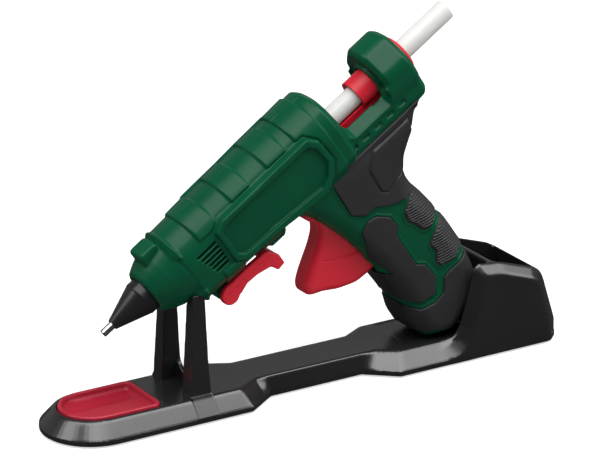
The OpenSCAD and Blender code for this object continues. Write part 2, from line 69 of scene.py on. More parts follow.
lens = bpy.data.cameras.new("long_lens")
lens.lens, lens.sensor_width = 222, 36
lens.clip_start, lens.clip_end = 0.05, 30
camera = bpy.data.objects.new("camera", lens)
camera.location = (-0.9242, -1.5138, 0.7495)
camera.rotation_euler = look((0.4886, 0.7990, -0.3507))
bpy.context.collection.objects.link(camera)
bpy.context.scene.camera = camera
bpy.context.scene.view_settings.view_transform = "Standard"
print("camera at", tuple(round(v, 3) for v in camera.location))

# %% [markdown]
# ## One helper for materials
# Every finish is a small graph of shader nodes, which could be drawn by hand in the editor. In code, one
# function is enough to add a node, set it and link it, and one turns the sRGB hex colours that makers
# write down into the linear values that the shader wants.

# %% A colour and a node
def linear(code, alpha=1.0):
    """sRGB hex to linear: each channel c becomes ((c + 0.055) / 1.055) ** 2.4, or c / 12.92 when dark."""
    c = np.array([int(code[i:i + 2], 16) for i in (1, 3, 5)]) / 255
    return (*np.where(c > 0.04045, ((c + 0.055) / 1.055) ** 2.4, c / 12.92), alpha)

def add(tree, kind, values=None, links=None, **settings):
    """A node with its settings, socket values, and links given as {input: (node, output)}."""
    node = tree.nodes.new("ShaderNode" + kind)
    for name, value in settings.items():
        setattr(node, name, value)
    for name, value in (values or {}).items():
        node.inputs[name].default_value = value
    for name, (other, output) in (links or {}).items():
        tree.links.new(other.outputs[output], node.inputs[name])
    return node

print("green as the shader sees it", [round(float(c), 3) for c in linear("#00442b")])

# %% [markdown]
# ## The finish of a moulding
# A moulded or turned part isn't one flat colour. Its tone drifts a little where the melt flowed, its
# gloss wanders with handling and with the wear of the mould, and a fine grain from spark erosion or
# machining breaks up the highlight. All three could be painted. Noise at a real size in millimetres, read
# from the object's own coordinates, needs no image file and stays on the piece as it moves.

# %% An empty material
def blank(name):
    """A new material with an empty graph."""
    mat = bpy.data.materials.new(name)
    mat.use_nodes = True
    mat.node_tree.nodes.clear()
    return mat, mat.node_tree

DRIFT_MM = 22
print("tone and gloss drift over", DRIFT_MM, "mm")

# %% Moulded and turned surfaces
def moulded(name, colour, rough, grain_mm, depth_mm, ior=1.5, spread=0.06, edge_mm=0.0, **more):
    """One colour between 0.93 and 1.06 of itself by a noise of DRIFT_MM, roughness that wanders by
    spread with the same noise, and a grain of grain_mm as bump, depth_mm high. edge_mm softens the light
    on hard edges as a moulding radius does. More sockets are set by name."""
    mat, tree = blank(name)
    place = add(tree, "TexCoord")
    grain = add(tree, "TexNoise", {"Scale": 1 / (grain_mm * MM), "Detail": 2.0, "Roughness": 0.6},
                {"Vector": (place, "Object")})
    drift = add(tree, "TexNoise", {"Scale": 1 / (DRIFT_MM * MM), "Detail": 3.0},
                {"Vector": (place, "Object")})
    wander = add(tree, "MapRange", {"From Min": 0.3, "From Max": 0.7, "To Min": rough - spread / 2,
                 "To Max": rough + spread / 2}, {"Value": (drift, "Fac")})
    base = linear(colour)
    tone = add(tree, "ValToRGB", None, {"Fac": (drift, "Fac")})
    tone.color_ramp.elements[0].position, tone.color_ramp.elements[1].position = 0.3, 0.7
    tone.color_ramp.elements[0].color = tuple(0.93 * c for c in base[:3]) + (1,)
    tone.color_ramp.elements[1].color = tuple(min(1, 1.06 * c) for c in base[:3]) + (1,)
    links = {"Height": (grain, "Fac")}
    if edge_mm:
        links["Normal"] = (add(tree, "Bevel", {"Radius": edge_mm * MM}, samples=4), "Normal")
    bump = add(tree, "Bump", {"Strength": 1.0, "Distance": depth_mm * MM}, links)
    values = {"IOR": ior}
    values.update(more)
    shell = add(tree, "BsdfPrincipled", values, {"Base Color": (tone, "Color"),
                "Roughness": (wander, "Result"), "Normal": (bump, "Normal")})
    add(tree, "OutputMaterial", None, {"Surface": (shell, "BSDF")})
    return mat

# %% [markdown]
# ## Finishes, one for each real material
# Each entry names the material and how its surface was made, and starts from typical values for it. The
# grain sizes are a little coarser than the real ones, 0.1 to 0.3 mm, so that they still show.

# %% Outer plastics
LEVEL = "Specular IOR Level"
finish = {
    # deep bottle green with a dull, even sheen: a fine spark-eroded texture in the mould
    "green_abs": moulded("green ABS, spark-eroded mould", "#00442b", 0.34, 0.55, 0.010, **{LEVEL: 0.18}),
    # strong, slightly waxy red: nylon shows a soft highlight and hides its glass fibres under a skin
    "red_pa": moulded("red glass-filled nylon, moulded", "#c01a2c", 0.4, 0.6, 0.010, **{LEVEL: 0.3}),
    # near black, smooth enough to mirror a soft lamp as a long grey band along the sloped flanks
    "stand_black": moulded("black ABS, satin moulded", "#19191b", 0.25, 0.7, 0.006, **{LEVEL: 0.8}),
    # charcoal and matt: the rubbery layer scatters light and shows hardly any reflection
    "soft_grip": moulded("grey TPE soft grip, moulded", "#252527", 0.55, 0.8, 0.030, ior=1.45),
    # darker, smoother red than the nylon, with a slick rolled rim
    "red_silicone": moulded("red silicone, moulded", "#98142a", 0.34, 0.7, 0.010, ior=1.43),
    # the boot over the nozzle: black and a little glossy, with soft edges
    "black_boot": moulded("black silicone, moulded", "#1b1b1d", 0.33, 0.6, 0.010, ior=1.43, edge_mm=0.3),
    # feet: dull black that catches almost no light
    "foot_rubber": moulded("black rubber, moulded", "#1d1d1e", 0.7, 0.6, 0.02, ior=1.52),
}
print(len(finish), "finishes for the outside")

# %% Metals and inner parts
finish.update({
    # bright and slightly warm, with a turned surface
    "plated_tip": moulded("nickel-plated brass, turned", "#c9c6c0", 0.24, 0.3, 0.004, Metallic=1.0),
    # grey wire and plate, bright along the draw
    "spring_steel": moulded("spring steel, drawn", "#a9a9ab", 0.3, 0.3, 0.004, Metallic=1.0),
    # dull silver with a sandy casting skin
    "cast_aluminium": moulded("aluminium, die cast", "#a6a8aa", 0.45, 0.8, 0.02, Metallic=1.0),
    # chalky grey heater plate
    "ptc_ceramic": moulded("ceramic, fired", "#8d8a83", 0.7, 0.5, 0.02),
    # heat-proof sleeve, brick orange
    "orange_silicone": moulded("orange silicone, moulded", "#b8501f", 0.5, 0.7, 0.01, ior=1.43),
    # tan board with a flaky face
    "mica_board": moulded("mica board, pressed", "#b7a585", 0.6, 1.2, 0.02),
    # blackened screws that still glint on their edges
    "black_screw": moulded("steel screw, black oxide", "#2a2a2c", 0.35, 0.4, 0.006, Metallic=1.0),
    # creamy terminal block
    "cream_nylon": moulded("cream nylon, moulded", "#d8cfb4", 0.45, 0.7, 0.01, edge_mm=0.3),
    # thin, shiny wire covering
    "wire_pvc": moulded("PVC wire covering, extruded", "#7a1f1f", 0.4, 0.5, 0.005),
})
print(len(finish), "finishes in all")

# %% [markdown]
# ## Glue stick
# EVA hot melt is milky: light goes in, scatters and comes out softened. A plain white plastic would look
# hard and chalky, and glass would look wet. Subsurface scattering with a reach of 3 mm gives the soft body,
# under a slightly waxy skin with faint marks from the extruder.

# %% Glue stick finish
def milky(name, colour, reach_mm):
    """A near-white body, half of whose light scatters over reach_mm, under a skin with 9 mm flow marks."""
    mat, tree = blank(name)
    place = add(tree, "TexCoord")
    flow = add(tree, "TexNoise", {"Scale": 1 / (9 * MM), "Detail": 2.0}, {"Vector": (place, "Object")})
    bump = add(tree, "Bump", {"Strength": 0.3, "Distance": 0.05 * MM}, {"Height": (flow, "Fac")})
    tone = add(tree, "ValToRGB", None, {"Fac": (flow, "Fac")})
    tone.color_ramp.elements[0].color = tuple(0.96 * c for c in linear(colour)[:3]) + (1,)
    tone.color_ramp.elements[1].color = linear(colour)
    shell = add(tree, "BsdfPrincipled", {"Roughness": 0.42, "IOR": 1.48, "Subsurface Weight": 0.5,
                "Subsurface Scale": reach_mm * MM, "Subsurface Radius": (1.0, 1.0, 0.9)},
                {"Base Color": (tone, "Color"), "Normal": (bump, "Normal")})
    add(tree, "OutputMaterial", None, {"Surface": (shell, "BSDF")})
    return mat

finish["eva_glue"] = milky("EVA hot melt, extruded", "#c6c6c4", 3.0)
print("milky stick added")

# %% [markdown]
# ## A finish for every part of the model
# The record of the model names a material slot for each part. Parts whose shape is right as it came, such
# as the nozzle, screws, springs and wires, only need their finish. The large mouldings are made again
# below with the rounded joins and rims that they have on the real tool.

# %% Dress the parts of the model
def dress(obj, name):
    """Put one finish on the whole of an object."""
    obj.data.materials.clear()
    obj.data.materials.append(finish[name])

slots = {part["node"]: part["material_slot"] for part in frame["record"]["subparts"]}
for name, obj in nodes.items():
    dress(obj, slots[name])
print(len(nodes), "CAD nodes dressed")

# %% [markdown]
# ## How the moulded pieces are made
# Injection mouldings are blends of plain shapes with a radius on every edge. They could be boxes and
# cylinders with booleans and bevels, but bevels fail where many shapes run together, and no single grid of
# two parameters follows such a body. So each one is described by a distance: how far a point lies outside
# its surface, negative inside. Distances join, meet and cut with a chosen radius, and the surface is where
# the distance is zero. The gun's pieces are worked out along its own axis: s runs back from the nozzle
# tip, y is across and t is square to both, all in mm.

# %% Distances that join, meet and cut
def meet(a, b, r=0.0):
    """What both bodies share: the larger distance, raised by h * h * r / 4 where the two are closer
    than r, with h = 1 where they are equal and 0 where they are r apart."""
    top = np.maximum(a, b)
    if not r:
        return top
    h = np.maximum(r - np.abs(a - b), 0) / r
    return top + h * h * (r / 4)

def join(a, b, r=0.0):
    """What either body holds: the smaller distance, with a fillet of r in the inner corner."""
    return -meet(-a, -b, r)

def cut(a, b, r=0.0):
    """The first body without the second: a, met with the outside of b."""
    return meet(a, -b, r)

print("deepest blend of two faces at radius 4:", meet(0.0, 0.0, 4.0), "mm")

# %% Outlines, slabs and the lattice
def outline(points, a, b):
    """Distance from (a, b) to a closed outline: the length to the nearest edge, negative where a ray
    crosses the outline an odd number of times."""
    shape = np.broadcast(a, b).shape
    near, inside = np.full(shape, 1e9, np.float32), np.zeros(shape, bool)
    ring = np.array(points, np.float32)
    for (ax, ay), (bx, by) in zip(ring, np.roll(ring, -1, 0)):
        ex, ey = bx - ax, by - ay
        u = np.clip(((a - ax) * ex + (b - ay) * ey) / (ex * ex + ey * ey), 0, 1)
        near = np.minimum(near, (a - ax - u * ex) ** 2 + (b - ay - u * ey) ** 2)
        inside ^= ((ay > b) != (by > b)) & (a < ex * (b - ay) / (by - ay + 1e-9) + ax)
    return np.where(inside, -1, 1).astype(np.float32) * np.sqrt(near)

def slabbed(flat, across, half, r):
    """An outline carried across to a half width, its rims rounded by r: the length of the vector
    (flat + r, across - half + r) where both are positive, less r."""
    p, q = flat + r, across - (half - r)
    return np.sqrt(np.maximum(p, 0) ** 2 + np.maximum(q, 0) ** 2) + np.minimum(np.maximum(p, q), 0) - r

def lattice(low, high, step):
    """Coordinates of a box of points, shaped so that they combine: (n,1,1), (1,m,1), (1,1,k)."""
    a, b, c = (np.arange(l, h + step, step, dtype=np.float32) for l, h in zip(low, high))
    return a[:, None, None], b[None, :, None], c[None, None, :]

print("middle of a 10 mm square:", float(outline([(0, 0), (10, 0), (10, 10), (0, 10)], 5.0, 5.0)), "mm")

# %% [markdown]
# ## From a distance to a surface
# A lattice of points samples the distance. Marching cubes would cut every cell by a table of cases;
# surface nets are simpler and give squarer, calmer quads: one vertex in each cell that the surface passes
# through, and one quad round each lattice edge that it crosses. The distance's own slope gives smooth
# normals, so that broad curves stay clean although the lattice is about half a millimetre.

# %% Surface of a distance field
CORNERS = np.array([(i, j, k) for i in (0, 1) for j in (0, 1) for k in (0, 1)])
EDGES = np.array([(p, p + d) for d, axis in ((4, 0), (2, 1), (1, 2))
                  for p in range(8) if not CORNERS[p][axis]])

def skin(field, low, step):
    """One vertex in each cell that the surface passes through, at the mean of its edge crossings, and
    one quad round each lattice edge that changes sign. Gives points, quads and normals, the slope of the
    field in each cell."""
    inside = field < 0
    n, m, k = (d - 1 for d in field.shape)
    count = np.zeros((n, m, k), np.uint8)
    for x, y, z in CORNERS:
        count += inside[x:x + n, y:y + m, z:z + k]
    cells = np.argwhere((count > 0) & (count < 8)).astype(np.int32)
    number = np.full((n, m, k), -1, np.int32)
    number[tuple(cells.T)] = np.arange(len(cells))
    value = np.stack([field[tuple((cells + c).T)] for c in CORNERS], 1)
    total, hits = np.zeros((len(cells), 3), np.float32), np.zeros(len(cells), np.float32)
    slope = np.zeros((len(cells), 3), np.float32)
    for p, q in EDGES:
        a, b = value[:, p], value[:, q]
        crossed = (a < 0) != (b < 0)
        u = np.where(crossed, a / np.where(crossed, a - b, 1), 0)
        total += crossed[:, None] * (CORNERS[p] + u[:, None] * (CORNERS[q] - CORNERS[p]))
        hits += crossed
        slope += (b - a)[:, None] * (CORNERS[q] - CORNERS[p])
    points = (cells + total / hits[:, None]) * step + np.array(low, np.float32)
    quads = []
    for axis in range(3):
        o1, o2 = [np.eye(3, dtype=np.int32)[(axis + d) % 3] for d in (1, 2)]
        end = np.eye(3, dtype=np.int32)[axis]
        size = np.array(field.shape) - end
        first, last = inside[:size[0], :size[1], :size[2]], inside[end[0]:, end[1]:, end[2]:]
        at = np.argwhere(first != last).astype(np.int32)
        at = at[(at @ o1 > 0) & (at @ o2 > 0) & (at @ o1 < field.shape[(axis + 1) % 3] - 1)
                & (at @ o2 < field.shape[(axis + 2) % 3] - 1)]
        ring = np.stack([number[tuple((at - o).T)] for o in (o1 + o2, o2, 0 * o1, o1)], 1)
        out = first[tuple(at.T)]
        quads.append(np.where(out[:, None], ring, ring[:, ::-1]))
    slope /= np.linalg.norm(slope, axis=1, keepdims=True) + 1e-9
    return points, np.concatenate(quads), slope

print(len(EDGES), "edges in a cell")

# %% [markdown]
# ## From numbers to a piece
# The points go into a mesh in one call each, already in place, so that the object itself sits at the
# origin, unturned and unscaled. Each piece then rides on the body that carries it and stands in for the
# part of the model that it replaces.

# %% Put a piece in the scene
TIP, LEAN = np.array([-114.0, 0.0, 49.5]), math.radians(34)
AXES = np.array([[math.cos(LEAN), 0, math.sin(LEAN)], [0, 1, 0], [-math.sin(LEAN), 0, math.cos(LEAN)]])

def piece(name, shape, body, look_name, replaced=(), of_gun=True, mirror=False):
    """An object from (points, quads, normals) in mm. Gun pieces are turned from the gun's axis into the
    frame: place = s * first axis + y * second + t * third + nozzle tip."""
    points, quads, normals = (np.array(part) for part in shape)
    if mirror:
        points[:, 1] *= -1
        normals[:, 1] *= -1
        quads = quads[:, ::-1]
    if of_gun:
        points, normals = points @ AXES + TIP, normals @ AXES
    mesh = bpy.data.meshes.new(name)
    mesh.vertices.add(len(points))
    mesh.vertices.foreach_set("co", (points * MM).astype(np.float32).ravel())
    mesh.loops.add(quads.size)
    mesh.loops.foreach_set("vertex_index", quads.astype(np.int32).ravel())
    mesh.polygons.add(len(quads))
    mesh.polygons.foreach_set("loop_start", np.arange(0, quads.size, 4, dtype=np.int32))
    mesh.update(calc_edges=True)
    mesh.validate()
    mesh.polygons.foreach_set("use_smooth", np.ones(len(mesh.polygons), bool))
    mesh.normals_split_custom_set_from_vertices(normals.tolist())
    obj = bpy.data.objects.new(name, mesh)
    bpy.context.collection.objects.link(obj)
    dress(obj, look_name)
    if replaced:
        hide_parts(*replaced)
    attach(obj, body)
    print(f"{name}: {2 * len(quads)} triangles")
    return obj

print("the gun leans", round(math.degrees(LEAN)), "degrees")

# %% [markdown]
# ## Housing
# Two green ABS halves carry everything. The barrel is a slightly flaring box with broad rounded shoulders
# and five raised bands; each side has a framed field, a row of slots and, behind, the window over the stick
# and the loop round it. The handle is one outline with rounded rims. Each half is a shell of 2.6 mm.
#
# A body like this could be lofted through cross sections, but handle, barrel and loop meet in the middle.
# Outlines in the plane of the parting line, carried across, are also how a tool maker would draw it.

# %% Outlines of the gun's handle and soft zones
HANDLE = [(113, -14), (116, -24), (120, -30), (124.5, -42), (128.5, -56), (131.5, -72), (133.5, -86),
          (134.6, -104), (133.8, -112), (131.6, -119), (131.5, -127), (133.1, -135.3), (144.8, -143.1),
          (152, -142), (163, -139), (172.5, -134.5), (176.3, -121), (178.2, -106), (178, -89),
          (176.6, -76), (175, -65.5), (173.3, -58), (173, -51), (174.6, -44.5), (178.5, -39),
          (184.5, -34.5), (190.5, -30.5), (195.5, -25), (196.5, -14)]
SADDLE = [(136.6, -19.6), (142.9, -14.2), (146.6, -17), (200, -17), (200, -40), (178, -62), (170, -57.5),
          (164, -56.3), (156.9, -53.5), (148.8, -47.4), (142.5, -47.2), (136, -41)]
SADDLE_PAD = [(172, -20.9), (164.8, -20.5), (157, -28), (156.3, -42.6), (159.6, -45.7), (167.4, -43),
              (190, -48), (190, -20.9)]
PANEL = [(135.2, -53.2), (141.4, -50.5), (146.8, -52), (152.6, -58.4), (153.4, -66), (150, -69.6),
         (149.8, -92), (153.6, -95.7), (154.8, -106), (149.8, -114.2), (140, -112.2), (133.3, -105.9),
         (126, -98), (126, -84), (131.2, -83.4), (136.6, -87.6), (132, -72)]
PAD_A = [(163.8, -59.8), (169.6, -57), (186, -58), (186, -77.5), (172.1, -79.8), (168, -81.6),
         (163.2, -79.6), (161.1, -72.6), (158.7, -69), (159.9, -62)]
PAD_B = [(161.4, -88.8), (165.5, -85.6), (173.6, -83.2), (186, -81.5), (186, -107.5), (173.5, -105.6),
         (168, -107), (160.2, -104.4), (158.9, -99.8), (162.2, -94.5)]
HEEL = [(124, -104), (129.5, -105.6), (137.9, -115.6), (146.6, -118.4), (153.3, -117.4), (158.2, -110.4),
        (162.2, -109.6), (170, -110.2), (186, -110.5), (186, -127.5), (172.5, -131.5), (163, -136),
        (152, -138.8), (146, -139), (139.5, -134), (131, -128), (124, -128)]
print(len(HANDLE), "corners in the handle's outline")

# %% Outlines on the barrel
FIELD_OUT = [(72.4, 10.6), (78.6, 14.2), (138.2, 15.2), (143, 9.6), (144.2, -5.6), (139.8, -12.4),
             (131.7, -17.6), (98.2, -14.6), (77.8, -13.8), (72.4, -9.6)]
FIELD_IN = [(75.4, 8.4), (80, 10.8), (136.2, 11.4), (139.6, 7.4), (140.6, -3.4), (136.6, -9.6),
            (131, -12.8), (98, -10.8), (79.2, -10.4), (75.6, -7.2)]
BANDS = [(44.5, 52), (64, 77), (89.3, 102), (114.3, 127.6), (134, 149)]
WINDOW = [(158, 40), (158, 2.5), (162, -3), (186.5, -3), (188.4, 1), (188.4, 40)]
SCREWS = [(66, 15.5), (140, 17), (108, -17.2), (140.5, -97), (151, -129), (167, -46)]
WALL, HALF, GRIP, BAND_HIGH = 2.6, 17.0, 1.3, 1.1
print(len(BANDS), "bands, walls of", WALL, "mm")

# %% Pins that things turn on, as (s, t)
PIVOT, DRIVE, PROP = (124, -30), (127.8, -14), (61.5, -28)
print("trigger pin at", PIVOT, "and kickstand pin at", PROP)

# %% Two ways to ease a shape
def soften(flat, radius, step):
    """The field averaged along s and t with weights exp(-distance squared / 2 radius squared), which
    rounds an outline's corners."""
    reach = int(2.5 * radius / step) + 1
    bell = np.exp(-0.5 * (np.arange(-reach, reach + 1) * step / radius) ** 2)
    bell /= bell.sum()
    for axis in (0, 2):
        wide = np.pad(flat, [(reach, reach) if a == axis else (0, 0) for a in range(3)], "edge")
        n = flat.shape[axis]
        flat = sum(w * np.take(wide, range(i, i + n), axis) for i, w in enumerate(bell))
    return flat.astype(np.float32)

def ramp(x, low, high):
    """0 below low, 1 above high, and u * u * (3 - 2u) between."""
    u = np.clip((x - low) / (high - low), 0, 1)
    return u * u * (3 - 2 * u)

print("ramp at a quarter:", ramp(0.25, 0, 1))

# %% Barrel, handle and rear as solids
def barrel(s, y, t, less=0.0):
    """Box section that flares from 39 to 42 mm: the largest of the flank, top, bottom and corner planes,
    with a 7 mm blend into the shoulder."""
    u = (s - 48) / 104
    w, top, low = 19.5 + 1.5 * u - less, 20.5 + 2.7 * u - less, 20.5 + 2 * u - less
    shoulder = (y + t - (w + top - 10.2)) / math.sqrt(2)
    steep = low - 13
    belly = (y * steep - t * 7.6 - (w * steep + 13 * 7.6)) / np.sqrt(steep ** 2 + 7.6 ** 2)
    return meet(meet(meet(y - w, t - top, 1), shoulder, 7), meet(-t - low, belly, 2), 1.2)

def grip_body(s, y, t):
    """The handle's outline carried 17 mm to each side, with rims rounded by 10 mm."""
    return slabbed(soften(outline(HANDLE, s, t), 1.6, 0.6), y, HALF, 10.0)

def rear_body(s, y, t, less=0.0):
    """Tube and cheeks that carry the window and the loop: radius 19.5 above with flats on top and
    shoulders, 34 mm wide and square below, and a chamfer round the back end."""
    radial = np.sqrt(y * y + t * t)
    slope = (y * 6.3 - t * 5.5 - (17 * 6.3 + 16.5 * 5.5)) / 8.36
    below = meet(meet(y - HALF + less, -t - 22.8 + less, 0), slope + less, 1.5)
    tube = join(radial - 19.5 + less, meet(below, t + 1, 0), 1)
    corner = ((s - 196) * 4 - (t + 22.5) * 13) / 13.6 + less
    tube = meet(tube, meet(meet(y, t, 0) - 19.1, (y + t) / math.sqrt(2) - 18.4, 0) + less, 0.6)
    ends = meet(s - 209 + less, 150 - s, 0)
    back = (s - 206.2 + tube) / math.sqrt(2)
    return meet(meet(tube, ends, 0.8), meet(back, corner, 0.5), 0.8)

print("barrel side at its front:", float(barrel(48.0, 19.5, 0.0)), "mm from its surface")

# %% [markdown]
# ### The outside of one half
# The bands are a step of 1.1 mm in the barrel's distance, faded out round the framed field. The nose is a
# cone turned about the axis with a small block on top. A bead of 0.6 mm runs round every soft zone,
# because the hard plastic stands up there to seal the edge of the softer shot.

# %% Barrel with bands, field frame, nose and block
step = 0.715
low, high = (27.0, -24.2, -145.5), (212.0, 1.6, 26.0)
s, y, t = lattice(low, high, step)
y_abs = np.abs(y)
radial = np.sqrt(y * y + t * t)
field_out, field_in = outline(FIELD_OUT, s, t), outline(FIELD_IN, s, t)

band = sum(ramp(s, a - 0.5, a + 0.5) * (1 - ramp(s, b - 0.5, b + 0.5)) for a, b in BANDS)
clear = ramp(field_out, 0.2, 1.6) * ramp(np.abs(t - 1) - 11 + 40 * (s > 75), -1, 1)
tube = barrel(s, y_abs, t)
body = tube - BAND_HIGH * band * clear + 0.8 * np.clip(51 - s, 0, 10)
body = meet(body, (body + s - 154.8) / math.sqrt(2), 0.5)
body = meet(meet(body, 43.5 - s, 2.5), s - 158, 0.8)
frame_rim = meet(meet(field_out, y_abs - 21.6 - 0.0145 * (s - 72), 0.9), 15 - y_abs, 0)
body = join(body, frame_rim, 0.7)
nose_r = np.interp(s.ravel(), [29.8, 31.5, 35.5, 40.5, 48.5, 54], [12.4, 13.4, 15.4, 17.4, 19.2, 19.2])
nose = meet(meet((radial - nose_r[:, None, None].astype(np.float32)) * 0.93, 29.8 - s, 1.6), s - 54, 0)
knob = slabbed(slabbed(np.abs(s - 42.4) - 5.6, np.abs(t - 14.4), 7.6, 2.0), y_abs, 6.2, 1.4)
body = join(join(body, nose, 0.4), knob, 0.4)
print("barrel field", body.shape)

# %% Handle, beads, tab and kickstand lug
grip = grip_body(s, y_abs, t)
rear = rear_body(s, y_abs, t)
zones = np.minimum.reduce([outline(zone, s, t) for zone in (SADDLE, PANEL, PAD_A, PAD_B, HEEL)])
bead = 0.6 * np.exp(-((zones - 0.7) / 0.6) ** 2) * ramp(-17.4 - t + 30 * (zones < -0.5), -1, 1)
TAB = [(93.4, -15), (93.4, -24), (95, -25.6), (104, -25.6), (106, -23.5), (106, -15)]
tab = slabbed(outline(TAB, s, t), y_abs, 11, 0.8)
lug = join(outline([(56.9, -28), (66.1, -28), (67.5, -18), (55.5, -18)], s, t),
           np.sqrt((s - PROP[0]) ** 2 + (t - PROP[1]) ** 2) - 4.6, 0)
hangers = join(tab, slabbed(lug, y_abs, 9, 0.6), 0)
solid = join(join(join(body, rear, 1.0), grip, 3.0) - bead, hangers, 0.5)
print("outside worked out at", solid.size, "points")

# %% [markdown]
# ### The inside of one half
# The hollow is the outside moved in by the wall, plus round seats for the nozzle boot, the feed ring and
# the rear ring. Cutting it as a solid keeps every wall at its thickness and leaves room for the trigger,
# the carriage and the wires.

# %% Hollow and seats
inner = join(meet(meet(barrel(s, y_abs, t, WALL), 51.5 - s, 0), s - 157, 0), grip + WALL, 1)
channel = join(meet(rear + WALL, y_abs - 11.3, 0), meet(rear + WALL, t + 13, 0), 0)
inner = join(inner, meet(channel, s - 187.5, 0), 0.5)
neck = outline([(120, -10), (190, -10), (186, -40), (160, -60), (128, -52)], s, t)
inner = join(inner, meet(slabbed(neck, y_abs, HALF - WALL, 1), grip + WALL, 0), 0.5)
nose_in = np.interp(s.ravel(), [36.5, 40, 48.5, 54], [12.9, 14.4, 16.4, 16.4])
nose_in = nose_in[:, None, None].astype(np.float32)
inner = join(inner, meet(meet(radial - nose_in, 36.5 - s, 0), s - 54, 0), 0)
inner = join(inner, meet(radial - 9.9, meet(20 - s, s - 40, 0), 0), 0)
inner = join(inner, meet(radial - 8.9, meet(180 - s, s - 204, 0), 0), 0)
inner = join(inner, meet(meet(y_abs - 7, meet(-9.4 - t, t, 0), 0), meet(182 - s, s - 200, 0), 0), 0)
inner = join(inner, meet(radial - 7.6, 199 - s, 0), 0)
inner = join(inner, meet(radial - 11.2, 205.6 - s, 0), 0.3)
solid = cut(solid, inner, 0.4)
print("hollow cut with walls of", WALL, "mm")

# %% Window, loop bevel and recess
lowered = t + 0.82 * np.clip(y_abs - 11.5, 0, 8)
window = meet(outline(WINDOW, s, lowered), -7.6 - t, 0)
bevel = meet(-(rear + 191.8 - s) / math.sqrt(2), meet(1 - t, 184 - s, 0), 3)
solid = cut(cut(solid, window, 0.6), bevel, 0.4)
recess = meet(outline([(180, 40), (180, -7), (190.4, 0), (190.4, 40)], s, t), radial - 16.6, 1.2)
solid = cut(solid, meet(recess, meet(11 - radial, -4 - t, 1), 0), 0.8)
print("window open over", round(WINDOW[-1][0] - WINDOW[0][0], 1), "mm of stick")

# %% Slots, sunk field and dents
for i in range(6):
    centre = 6.0 - 2.6 * i
    ends = meet(57.5 + 0.8 * i - s, s - 70.6 + 0.1 * i, 0)
    run = meet(ends, np.abs(t - centre - 0.02 * (s - 64)) - 0.62, 0)
    solid = cut(solid, meet(run, 14 - y_abs, 0), 0.5)
solid = cut(solid, meet(field_in, 19.55 + 0.0145 * (s - 72) - y_abs, 0.4), 0.6)
for i in range(5):
    dent = slabbed(np.abs(s - 157.4 - 8.7 * i) - 2.2, np.abs(t + 12.2), 1.1, 0.5)
    solid = cut(solid, slabbed(dent, np.abs(y_abs - 17), 0.9, 0.2), 0.5)
print("6 slots and 5 dents on each side")

# %% Room for the trigger and the inlet
SLOT = [(110, -24.5), (116.2, -24.5), (116.2, -14), (132, -14), (136.5, -26), (137.5, -84.3), (126, -84.3),
        (110, -40)]
solid = cut(solid, slabbed(outline(SLOT, s, t), y_abs, 8, 0.3), 0.4)
inlet = np.sqrt((s - 162.5 + 0.14 * (t + 142)) ** 2 + y * y) - 5.3
solid = cut(solid, meet(inlet, t + 125, 0), 0.4)
print("slot 16 mm wide for the trigger, hole 10.6 mm across for the inlet")

# %% [markdown]
# ### Near and far half
# Both halves are one shape and its mirror image, as a pair of moulds would make them. They lap by 0.35 mm
# past the middle, so that the joint closes to nothing on the barrel's back. Only the far half has the
# sunk holes that the screws go in by.

# %% The two halves
half = meet(solid, y - 0.35, 0)
piece("housing_near_shell", skin(half, low, step), "gun", "green_abs", ["housing_near"])

for a, b in SCREWS:
    hole = meet(np.sqrt((s - a) ** 2 + (t - b) ** 2) - 3.1, 10 - y_abs, 0)
    half = cut(half, hole, 0.3)
piece("housing_far_shell", skin(half, low, step), "gun", "green_abs", ["housing_far"], mirror=True)

# %% [markdown]
# ## Soft grips
# A second, softer material is moulded over the handle in shallow pockets: a saddle under the thumb, a
# panel on each side, two ribbed pads down the back and a band round the heel. They could be thickened
# patches of the housing's mesh, but their edges would then follow its faces. Instead each is a layer that
# follows the handle's distance, 1.3 mm proud, limited by its own outline. The pads carry ribs 1.5 mm
# apart; real ones are nearer 1 mm, which would be too fine to show.

# %% One soft piece
def soft(name, zone, node, ribs=0.0, pad=None, step=0.5):
    """The layer between 1.3 mm outside and 0.9 mm inside the handle, within an outline, with a rounded
    rim. Ribs add 1.1 * |sin(pi * (0.94 t + 0.34 s) / ribs)|; a pad outline raises its inside by 0.5 mm
    behind a groove."""
    ring = np.array(zone)
    low = (max(ring[:, 0].min(), 112) - 2, -19.5, ring[:, 1].min() - 2)
    high = (min(ring[:, 0].max(), 200) + 2, 19.5, ring[:, 1].max() + 2)
    s, y, t = lattice(low, high, step)
    y = np.abs(y)
    base = join(rear_body(s, y, t), grip_body(s, y, t), 3.0)
    flat = outline(zone, s, t)
    proud = 0 * base + GRIP
    if ribs:
        wave = np.abs(np.sin(math.pi * (t * 0.94 + s * 0.34) / ribs))
        proud = GRIP - 0.8 + 1.1 * wave * ramp(-flat, 0.5, 1.4)
    if pad:
        edge = outline(pad, s, t)
        proud = proud + 0.5 * ramp(-edge, 0.0, 0.9) - 0.5 * np.exp(-((edge - 0.2) / 0.5) ** 2)
    layer = meet(meet(base - proud, flat + 0.1, 0.6), -(base + 0.9), 0.2)
    room = [(100, -14), (132, -14), (136.5, -26), (137.5, -84.3), (126, -84.3), (100, -84.3)]
    slot_gap = meet(y - 8.0, outline(room, s, t), 0)
    layer = cut(layer, slot_gap, 0.3)
    piece(name, skin(layer, low, step), "gun", "soft_grip", [node] if node else ())

print("soft layer", GRIP, "mm proud")

# %% The five soft pieces
soft("grip_saddle_skin", SADDLE, "grip_saddle", pad=SADDLE_PAD)
soft("grip_side_skins", PANEL, "grip_side_panels")
soft("grip_palm_upper", PAD_A, "grip_palm_pads", ribs=1.5, step=0.42)
soft("grip_palm_lower", PAD_B, None, ribs=1.5, step=0.42)
soft("grip_heel_skin", HEEL, "grip_heel_band")

